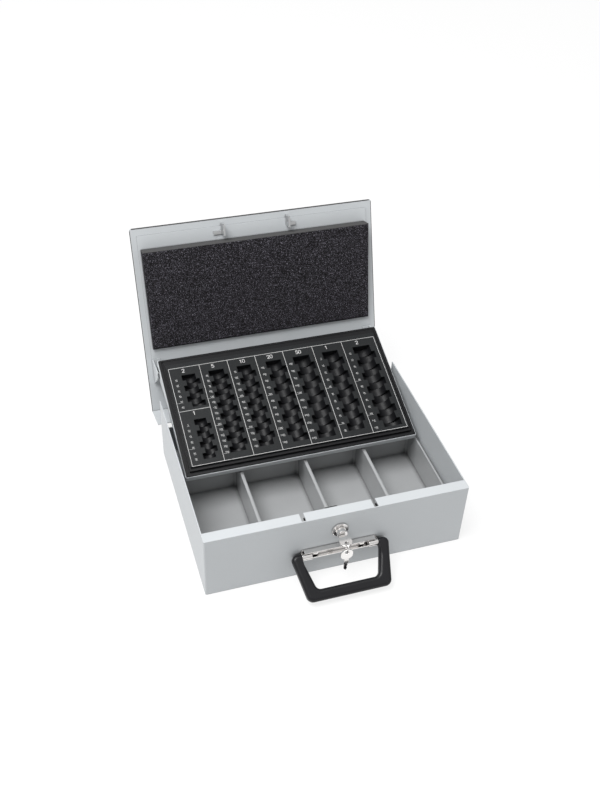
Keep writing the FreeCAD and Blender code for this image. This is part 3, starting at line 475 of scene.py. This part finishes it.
def grey(value, blue=0.0):
    """Neutral colour that leans to blue, or below zero to a warm tone, by a share of its value."""
    return (value * (1 - blue), value * (1 - blue * 0.3), value * (1 + blue * 0.2))


def grey_paint(tone):
    """Powder coat on the sheet steel."""
    # Painted shade darkens the coat in its corners and slots.
    surface("grey_paint", grey(tone * 0.96, 0.06), grey(tone * 1.04, 0.06), 0.42,
            grain=(1100.0, 0.10, 0.0006), speck=grey(tone * 0.90, 0.06), gloss=0.4,
            recess_shade={"Reach": 0.004})


def edge_shade():
    """Painted shade: dark line along the lid sheet's cut edges."""
    surface("edge_shade", grey(0.05), grey(0.07), 0.6)


def plain_steel():
    """Bare steel of the hinge, the hooks and the pins."""
    # Painted shade darkens the steel in its corners and slots.
    surface("plain_steel", grey(0.58), grey(0.70, 0.02), 0.34, metallic=1.0,
            grain=(500.0, 0.08, 0.0003), recess_shade={"Reach": 0.002})


def dark_steel():
    """Near-black steel of the latch bar, painted shade for the slots that open above it."""
    surface("dark_steel", grey(0.010), grey(0.018), 0.45, gloss=0.3)


def plating():
    """Bright plating of the lock, the keys and the handle's bracket."""
    # Painted shade darkens the plating in its corners and slots.
    surface("plating", grey(0.76, -0.03), grey(0.90, -0.03), 0.11, metallic=1.0,
            grain=(300.0, 0.03, 0.0003), recess_shade={"Reach": 0.005})


def foam():
    """Black open foam with pale glints, and a painted highlight that makes its front end paler."""
    front = shut_box("foam_pad")[0][1]
    rearwards, front_end = along(on_lid([(0, front, 0), (0, front + 1, 0)]))
    # Painted highlight: the front end, and a narrow band of the skin behind it, turn pale grey.
    surface("foam", grey(0.006), (0.010, 0.009, 0.011), 0.95, grain=(700.0, 1.0, 0.0008),
            speck=(0.22, 0.21, 0.25), speck_size=(1000.0, 0.55), gloss=0.1,
            painted_fade={"Direction": rearwards, "Clear": front_end + FOAM_HIGHLIGHT_END_DEPTH * MM,
                  "Fully Painted": front_end + FOAM_HIGHLIGHT_FULL_DEPTH * MM, "Painted Tone": (*grey(0.075), 1), "Share": 0.2})


def dark_plastic():
    """The tray's dark plastic, with painted shade that darkens its pockets."""
    # Painted shade: the pockets fall to near black with depth below the plateau.
    upwards, top = along(on_tray([(0, 0, PLATEAU), (0, 0, PLATEAU + 1)]))
    surface("dark_plastic", grey(0.007, 0.20), grey(0.011, 0.20), 0.42, grain=(1600.0, 0.14, 0.0006),
            speck=grey(0.034), gloss=0.25,
            painted_fade={"Direction": upwards, "Clear": top - POCKET_SHADE_START_DEPTH * MM,
                  "Fully Painted": top - POCKET_SHADE_FULL_DEPTH * MM, "Painted Tone": (*POCKET_SHADE_BLACK, 1), "Share": 0.12})


def white_print():
    """Pale ink of the tray's print."""
    surface("white_print", grey(0.42), grey(0.50), 0.55, grain=(900.0, 0.05, 0.0001))


def grey_plastic():
    """Glossy plastic of the insert."""
    # Painted shade darkens the insert's corners and the slots above its bays.
    surface("grey_plastic", grey(0.28, 0.03), grey(0.34, 0.03), 0.22,
            grain=(220.0, 0.05, 0.0012), coat=0.3, recess_shade={"Reach": 0.012})


def black_plastic():
    """Satin plastic of the grip."""
    surface("black_plastic", (0.005, 0.005, 0.006), (0.007, 0.007, 0.009), 0.38,
            grain=(1300.0, 0.14, 0.0008), gloss=0.3)


class CASHBOX_OT_materials(bpy.types.Operator):
    """Make the materials and give each construction node its own."""
    bl_idname = "cashbox.materials"
    bl_label = "Materials"

    def execute(self, context):
        for group in (grain_group, painted_fade_group, recess_shade_group):
            group()
        grey_paint(context.scene.cash_box.paint_tone)
        for finish in (edge_shade, plain_steel, dark_steel, plating, foam, dark_plastic, white_print,
                       grey_plastic, black_plastic):
            finish()
        slots = {entry["node"]: entry["material_slot"] for entry in frame["record"]["subparts"]}
        # The latch bar is coloured near black as painted shade seen through the slots.
        slots["latch_bar"] = "dark_steel"
        for node, obj in frame["nodes"].items():
            obj.data.materials.clear()
            obj.data.materials.append(bpy.data.materials[slots[node]])
        return {"FINISHED"}


class CASHBOX_OT_foam(bpy.types.Operator):
    """Make the foam wedge in the lid."""
    bl_idname = "cashbox.foam"
    bl_label = "Foam wedge"

    def execute(self, context):
        """A four-sided section is carried across the lid and shrinks to its middle at both ends. The skin
        is set in towards the middle, and below its back it dips by a sum of sines."""
        wave = context.scene.cash_box.foam_waviness / MM
        low, high = shut_box("foam_pad")
        section = self.section(low[1], high[1], high[2])
        middle = np.array([section[:, 0].mean(), high[2] - FOAM_MIDDLE_DEPTH])
        growing = np.linspace(0, FOAM_END_SHARE, FOAM_END_ROWS)
        shares = np.concatenate([growing, np.ones(FOAM_ROWS), growing[::-1]])[:, None, None]
        across = np.linspace(low[0], high[0], FOAM_ROWS)
        across = np.pad(across, FOAM_END_ROWS, mode="edge")[:, None]
        rings = middle + (section - middle) * shares
        inward = middle - rings
        length = np.maximum(np.linalg.norm(inward, axis=2, keepdims=True), 1e-6)
        skin = rings + inward / length * FOAM_INSET * shares
        uneven = 0.5 + 0.5 * soft_noise(rings[..., 0], across)
        dip = np.clip(FOAM_LEAST_DIP + wave * uneven, 0, FOAM_MOST_DIP)
        skin[..., 1] += np.where(rings[..., 1] < high[2] - FOAM_FLAT_BACK, dip, 0)
        sides = np.clip(across, low[0] + FOAM_INSET, high[0] - FOAM_INSET)
        points, quads = joined([grid(sides, skin[..., 0], skin[..., 1])], closed=True)
        piece = new_piece("foam_wedge", on_lid(points), quads, "foam", "lid", smooth=True)
        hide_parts("foam_pad")
        return {"FINISHED"}

    def section(self, front, rear, top):
        """Evenly spaced points along the four sides of the wedge's section."""
        corners = [(front, top), (front, top - FOAM_THICK_FRONT),
                   (rear, top - FOAM_THICK_REAR), (rear, top)]
        sides = []
        for start, end in zip(corners, corners[1:] + corners[:1]):
            count = max(int(math.dist(start, end) / FOAM_STEP), FOAM_FEWEST_STEPS)
            sides.append(np.linspace(start, end, count, endpoint=False))
        return np.concatenate(sides)


class CASHBOX_OT_print(bpy.types.Operator):
    """Print the tray's frame, column lines, ticks and plain numbers."""
    bl_idname = "cashbox.tray_print"
    bl_label = "Tray print"

    def execute(self, context):
        """Every line is a flat strip along a straight segment, lying a little above the tray's plateau."""
        wide = context.scene.cash_box.line_width / MM
        rear, front = -FRAME_REAR, -FRAME_FRONT
        half = sum(column[0] for column in COLUMNS) / 2
        segments = [(-half, y, half, y, wide) for y in (rear, front)]
        segments.append((half, rear, half, front, wide))
        left = -half
        for width, pitch, pockets, heading, worth in COLUMNS:
            segments.append((left, rear, left, front, wide))
            segments += self.heading(heading, left + width * HEADING_PLACE, rear - HEADING_GAP)
            segments += self.scale(left, CHANNEL_START, pitch, pockets, worth)
            left += width
        points, quads = ribbons(segments + self.short_channel(-half, wide), PLATEAU + PRINT_LIFT)
        new_piece("tray_print", on_tray(points), quads, "white_print", "tray")
        return {"FINISHED"}

    def short_channel(self, left, wide):
        """Line, heading and scale of the short channel in front of the first column's own."""
        width, first_pitch, first_pockets = COLUMNS[0][:3]
        pitch, pockets, heading, worth = SHORT_CHANNEL
        end = CHANNEL_START + first_pitch * first_pockets
        line = -end - SHORT_CHANNEL_GAP * SHORT_CHANNEL_LINE
        segments = [(left, line, left + width, line, wide)]
        segments += self.heading(heading, left + width * HEADING_PLACE, line - SHORT_HEADING_GAP)
        return segments + self.scale(left, end + SHORT_CHANNEL_GAP, pitch, pockets, worth)

    def heading(self, text, x, top):
        """Number whose upper left corner is at a place."""
        return number_strokes(text, x, top - HEADING_TALL, HEADING_TALL, HEADING_STROKE)

    def scale(self, left, start, pitch, pockets, worth):
        """Ticks and running totals beside one channel."""
        right = left + SCALE_WIDTH
        segments = []
        for k in range(1, pockets + 1):
            y = -start - pitch * k
            tick = left + LONG_TICK_MARGIN if k % LONG_TICK_EVERY == 0 else right - TICK_LENGTH
            segments.append((tick, y, right + TICK_OVERHANG, y, TICK_STROKE))
            total = str(worth * k)
            x = right - number_width(total, TOTAL_TALL)
            segments += number_strokes(total, x, y + TOTAL_LIFT, TOTAL_TALL, TOTAL_STROKE)
        return segments


class CASHBOX_OT_divider_tops(bpy.types.Operator):
    """Make the rounded tops of the insert's dividers."""
    bl_idname = "cashbox.divider_tops"
    bl_label = "Divider tops"

    def execute(self, context):
        """A half-round profile is carried along each divider's top."""
        low, high = node_box("note_insert")
        bays = FIRST_BAY + BAY_GROWTH * np.arange(DIVIDERS)
        radius = DIVIDER_THICK / 2
        centres = high[0] - INSERT_WALL - np.cumsum(bays + DIVIDER_THICK) + radius
        angles = np.linspace(0, math.pi, DIVIDER_POINTS)
        y = np.linspace(low[1] + INSERT_WALL, high[1] - INSERT_WALL, DIVIDER_ROWS)[:, None]
        z = high[2] - DIVIDER_SUNK + DIVIDER_RISE * np.sin(angles)
        points, quads = joined([grid(centre + radius * np.cos(angles), y, z) for centre in centres])
        new_piece("divider_tops", points * MM, quads, "grey_plastic", "base", smooth=True)
        return {"FINISHED"}


class CASHBOX_OT_lid_edges(bpy.types.Operator):
    """Make the dark lines of painted shade on the lid panel's cut edges."""
    bl_idname = "cashbox.lid_edges"
    bl_label = "Lid edges"

    def execute(self, context):
        """A profile that turns in under the sheet is carried along the front edge and both sides."""
        low, high = shut_box("lid_shell")
        under = high[2] - SHEET - EDGE_OFF_SHEET
        z = np.array([high[2], under, under])
        front = np.array([-EDGE_OFF_SHEET, -EDGE_OFF_SHEET, FRONT_EDGE_TURNED_IN])
        side = np.array([-EDGE_OFF_SHEET, -EDGE_OFF_SHEET, SIDE_EDGE_TURNED_IN])
        x_ends = np.array([[low[0] + LID_CORNER], [high[0] - LID_CORNER]])
        y_ends = np.array([[low[1] + LID_CORNER], [high[1]]])
        strips = [grid(x_ends, low[1] + front, z)]
        strips += [grid(x, y_ends, z) for x in (low[0] + side, high[0] - side)]
        points, quads = joined(strips)
        # The strips are painted shade on the sheet's edges and just inside them.
        new_piece("lid_edge_shade", on_lid(points), quads, "edge_shade", "lid")
        return {"FINISHED"}


class CASHBOX_OT_rivet_domes(bpy.types.Operator):
    """Make the domes on the rivets' heads."""
    bl_idname = "cashbox.rivet_domes"
    bl_label = "Rivet domes"

    def execute(self, context):
        """A flattened half ball, with a tiny ring at its pole, is turned about each rivet's axis."""
        low, high = node_box("handle_rivets")
        head = (high[2] - low[2]) / 2
        polars = np.linspace(0, math.pi / 2, RIVET_RINGS)[:, None]
        turns = np.linspace(0, 2 * math.pi, RIVET_SIDES, endpoint=False)
        radius = (head - RIVET_SUNK) * np.cos(polars) + RIVET_POLE
        y = low[1] + RIVET_SUNK - RIVET_DOME * np.sin(polars)
        z = low[2] + head + radius * np.sin(turns)
        domes = [grid(x + radius * np.cos(turns), y, z) for x in (low[0] + head, high[0] - head)]
        points, quads = joined(domes, closed=True)
        new_piece("rivet_domes", points * MM, quads, "plating", "base", smooth=True)
        return {"FINISHED"}


class CASHBOX_OT_stage(bpy.types.Operator):
    """Set the floor, the sky, the lamp and the camera."""
    bl_idname = "cashbox.stage"
    bl_label = "Stage"

    def execute(self, context):
        scene = context.scene
        scene.view_settings.view_transform = "Standard"
        self.floor(scene)
        self.sky(scene)
        self.lamp(scene)
        self.camera(scene)
        return {"FINISHED"}

    def floor(self, scene):
        """White floor that glows, so that shadows on it stay faint."""
        mesh = bpy.data.meshes.new("floor")
        corners = [(x * FLOOR_HALF, y * FLOOR_HALF, 0) for x, y in ((-1, -1), (1, -1), (1, 1), (-1, 1))]
        mesh.from_pydata(corners, [], [(0, 1, 2, 3)])
        floor = bpy.data.objects.new("floor", mesh)
        scene.collection.objects.link(floor)
        floor.location.z = -FLOOR_DROP
        pale = bpy.data.materials.new("pale_floor")
        pale.use_nodes = True
        shader = pale.node_tree.nodes["Principled BSDF"]
        shader.inputs["Base Color"].default_value = (0.15, 0.15, 0.15, 1)
        shader.inputs["Roughness"].default_value = 0.9
        shader.inputs["Emission Color"].default_value = (1, 1, 1, 1)
        shader.inputs["Emission Strength"].default_value = FLOOR_GLOW
        mesh.materials.append(pale)

    def sky(self, scene):
        """Plain white sky that brightens from the horizon upwards."""
        world = bpy.data.worlds.new("studio")
        scene.world = world
        world.use_nodes = True
        nodes, links = world.node_tree.nodes, world.node_tree.links
        place = nodes.new("ShaderNodeTexCoord")
        split = nodes.new("ShaderNodeSeparateXYZ")
        rise = nodes.new("ShaderNodeMapRange")
        rise.inputs["To Min"].default_value = SKY_HORIZON
        rise.inputs["To Max"].default_value = SKY_ZENITH
        links.new(place.outputs["Generated"], split.inputs["Vector"])
        links.new(split.outputs["Z"], rise.inputs["Value"])
        nodes["Background"].inputs["Color"].default_value = (1, 1, 1, 1)
        links.new(rise.outputs["Result"], nodes["Background"].inputs["Strength"])

    def lamp(self, scene):
        """Soft lamp above the box, a little to the left and the front."""
        light = bpy.data.lights.new("key", "AREA")
        light.shape = "SQUARE"
        light.size = LAMP_SIZE
        light.energy = LAMP_POWER
        lamp = bpy.data.objects.new("key", light)
        scene.collection.objects.link(lamp)
        lamp.location = LAMP_PLACE
        aim = Vector(LAMP_AIM) - Vector(LAMP_PLACE)
        lamp.rotation_euler = aim.to_track_quat("-Z", "Y").to_euler()

    def camera(self, scene):
        """Camera turned by its azimuth and elevation, then rolled about its line of sight."""
        angles = (CAMERA_AZIMUTH, CAMERA_ELEVATION, CAMERA_ROLL)
        azimuth, elevation, roll = (math.radians(angle) for angle in angles)
        back = Vector((math.sin(azimuth) * math.cos(elevation), -math.cos(azimuth) * math.cos(elevation),
                       math.sin(elevation)))
        right = Vector((math.cos(azimuth), math.sin(azimuth), 0))
        up = back.cross(right)
        side = right * math.cos(roll) + up * math.sin(roll)
        head = up * math.cos(roll) - right * math.sin(roll)
        data = bpy.data.cameras.new("camera")
        data.lens = CAMERA_LENS
        data.sensor_width = 36.0
        data.sensor_fit = "AUTO"
        data.clip_end = 50.0
        view = bpy.data.objects.new("camera", data)
        scene.collection.objects.link(view)
        turn = Matrix((side, head, back)).transposed().to_4x4()
        view.matrix_world = Matrix.Translation(CAMERA_PLACE) @ turn
        scene.camera = view


class CASHBOX_PT_panel(bpy.types.Panel):
    """Sidebar panel with the settings and one button for each step."""
    bl_idname = "CASHBOX_PT_panel"
    bl_label = "Cash Box"
    bl_space_type = "VIEW_3D"
    bl_region_type = "UI"
    bl_category = "Cash Box"

    def draw(self, context):
        layout = self.layout
        for name in ("paint_tone", "foam_waviness", "line_width"):
            layout.prop(context.scene.cash_box, name)
        for step in STEPS:
            layout.operator(step.bl_idname)


STEPS = (CASHBOX_OT_materials, CASHBOX_OT_foam, CASHBOX_OT_print, CASHBOX_OT_divider_tops,
         CASHBOX_OT_lid_edges, CASHBOX_OT_rivet_domes, CASHBOX_OT_stage)
CLASSES = (CashBoxSettings,) + STEPS + (CASHBOX_PT_panel,)


def register():
    for item in CLASSES:
        bpy.utils.register_class(item)
    bpy.types.Scene.cash_box = bpy.props.PointerProperty(type=CashBoxSettings)


def unregister():
    del bpy.types.Scene.cash_box
    for item in reversed(CLASSES):
        bpy.utils.unregister_class(item)


def main():
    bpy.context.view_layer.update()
    register()
    bpy.ops.cashbox.materials()
    bpy.ops.cashbox.foam()
    bpy.ops.cashbox.tray_print()
    bpy.ops.cashbox.divider_tops()
    bpy.ops.cashbox.lid_edges()
    bpy.ops.cashbox.rivet_domes()
    bpy.ops.cashbox.stage()


if __name__ == "__main__":
    main()
